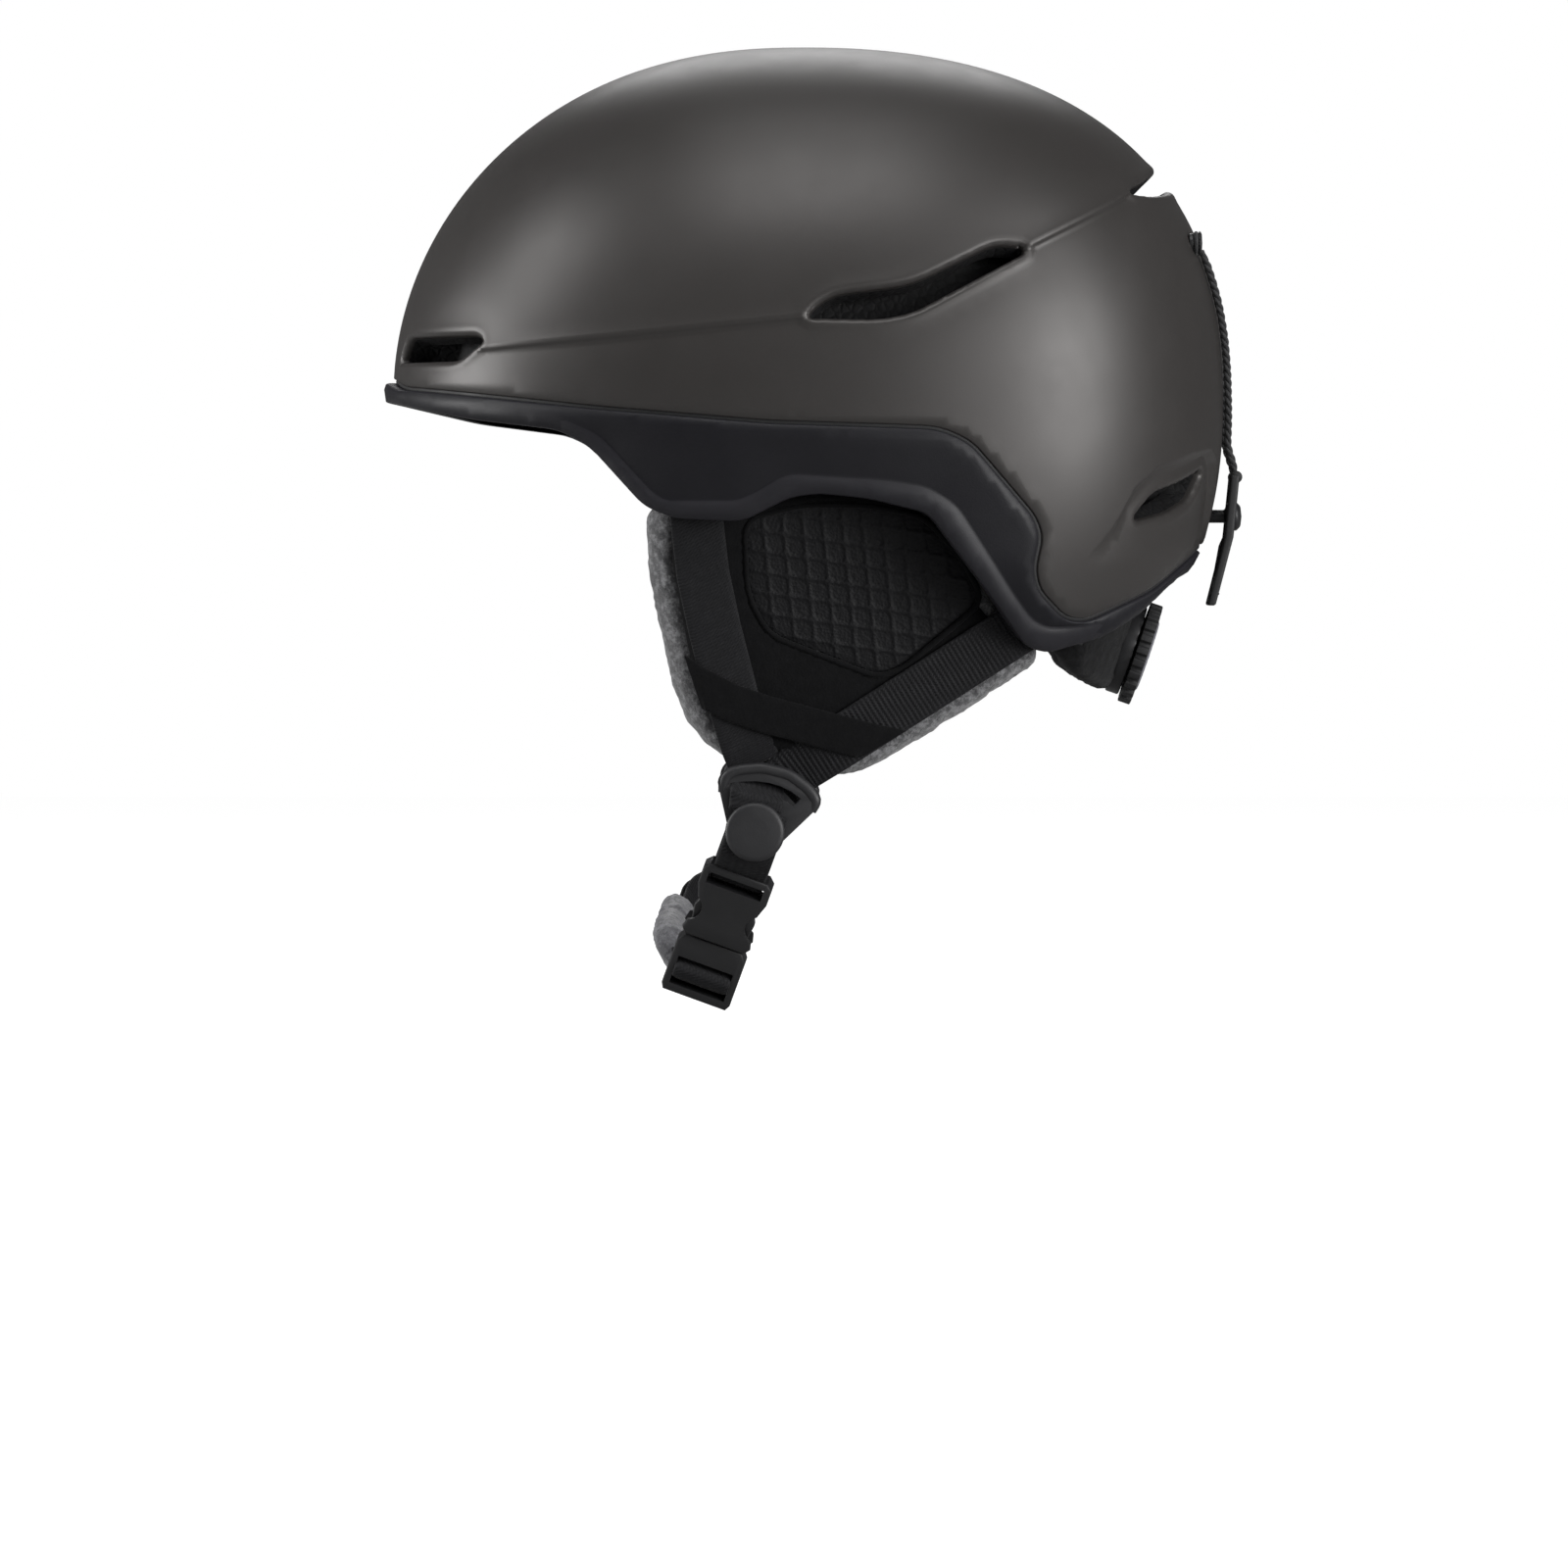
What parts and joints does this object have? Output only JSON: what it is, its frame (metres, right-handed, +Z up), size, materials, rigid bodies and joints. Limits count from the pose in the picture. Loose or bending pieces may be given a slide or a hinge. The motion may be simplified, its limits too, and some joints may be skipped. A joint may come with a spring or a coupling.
{
  "type": "ski helmet",
  "caption": "Ski helmet with a hard shell, foam liner, padded ear covers, chin strap with side-release buckle, rear fit dial and goggle-strap retainer.",
  "frame": {"origin": "middle of the wearer's head, on the left-right centre plane, between the ears and a little above them", "axes": "+X to the wearer's left, -Y the way the wearer faces, +Z up through the crown"},
  "size_m": [0.2318, 0.2885, 0.3215],
  "materials": {
    "shell_paint": "satin metallic brown-grey over polycarbonate",
    "trim_plastic": "matte moulded plastic",
    "foam": "black expanded polystyrene",
    "black_fleece": "short black fleece",
    "grey_fleece": "plush grey fleece",
    "cover_fabric": "smooth black knit",
    "mesh_fabric": "embossed black mesh",
    "webbing": "ribbed woven webbing",
    "black_plastic": "moulded, fine satin",
    "grey_plastic": "matte grey cap",
    "rubber": "soft matte rubber",
    "cord": "braided elastic cord"
  },
  "bodies": {
    "helmet": {"outer_shell": "shell_paint", "lower_trim": "trim_plastic", "foam_liner": "foam", "brow_pad": "black_fleece", "crown_pad": "black_fleece", "side_pad_left": "black_fleece", "side_pad_right": "black_fleece", "rear_pad_left": "black_fleece", "rear_pad_right": "black_fleece", "retainer_peg": "black_plastic", "ear_pad_left": "grey_fleece", "ear_cover_left": "cover_fabric", "ear_mesh_left": "mesh_fabric", "front_webbing_left": "webbing", "rear_webbing_left": "webbing", "cross_band_left": "cover_fabric", "front_rivet_left": "black_plastic", "rear_rivet_left": "black_plastic", "strap_slider_left": "black_plastic", "strap_snap_left": "black_plastic", "retainer_anchor_left": "black_plastic", "ear_pad_right": "grey_fleece", "ear_cover_right": "cover_fabric", "ear_mesh_right": "mesh_fabric", "front_webbing_right": "webbing", "rear_webbing_right": "webbing", "cross_band_right": "cover_fabric", "front_rivet_right": "black_plastic", "rear_rivet_right": "black_plastic", "strap_slider_right": "black_plastic", "strap_snap_right": "black_plastic", "retainer_anchor_right": "black_plastic"},
    "chin_loop": {"buckle_strap": "webbing", "buckle_female": "black_plastic", "snap_strap": "webbing"},
    "chin_band": {"chin_strap": "webbing", "chin_pad": "grey_fleece", "buckle_male": "black_plastic"},
    "prong_rear": {"buckle_prong_rear": "black_plastic"},
    "prong_front": {"buckle_prong_front": "black_plastic"},
    "retainer": {"retainer_cord_left": "cord", "retainer_cord_right": "cord", "retainer_clip": "rubber"},
    "cradle": {"fit_cradle": "black_plastic", "cradle_pad": "black_fleece", "dial_housing": "black_plastic", "cradle_stem": "black_plastic"},
    "dial": {"fit_dial": "black_plastic", "dial_cap": "grey_plastic", "dial_pinion": "black_plastic"}
  },
  "joints": [
    {"name": "chin_strap_swing", "type": "hinge", "parent": "helmet", "child": "chin_loop", "pos_m": [0, -0.0162, -0.1034], "axis": [1, 0, 0], "range_deg": [-25, 30]},
    {"name": "buckle_open", "type": "hinge", "parent": "chin_loop", "child": "chin_band", "pos_m": [-0.0866, -0.02068, -0.11571], "axis": [0, 0.9397, -0.342], "range_deg": [0, 70]},
    {"name": "prong_rear_press", "type": "hinge", "parent": "chin_band", "child": "prong_rear", "pos_m": [0.07062, -0.02207, -0.14204], "axis": [0.9474, -0.1095, -0.3007], "range_deg": [0, 8], "stiffness_Nm_per_rad": 0.05},
    {"name": "prong_front_press", "type": "hinge", "parent": "chin_band", "child": "prong_front", "pos_m": [0.07062, -0.03654, -0.13678], "axis": [-0.9474, 0.1095, 0.3007], "range_deg": [0, 8], "stiffness_Nm_per_rad": 0.05},
    {"name": "retainer_lift", "type": "hinge", "parent": "helmet", "child": "retainer", "pos_m": [0, 0.1325, 0.092], "axis": [1, 0, 0], "range_deg": [0, 110]},
    {"name": "cradle_slide", "type": "slide", "parent": "helmet", "child": "cradle", "axis": [0, -1, 0], "range_m": [0, 0.005]},
    {"name": "dial_turn", "type": "hinge", "parent": "cradle", "child": "dial", "pos_m": [0, 0.107, -0.043], "axis": [0, 0.9455, -0.3256], "range_deg": [0, 360]}
  ],
  "couplings": [
    {"joint": "cradle_slide", "follows": "dial_turn", "m_per_rad": 0.00079}
  ]
}
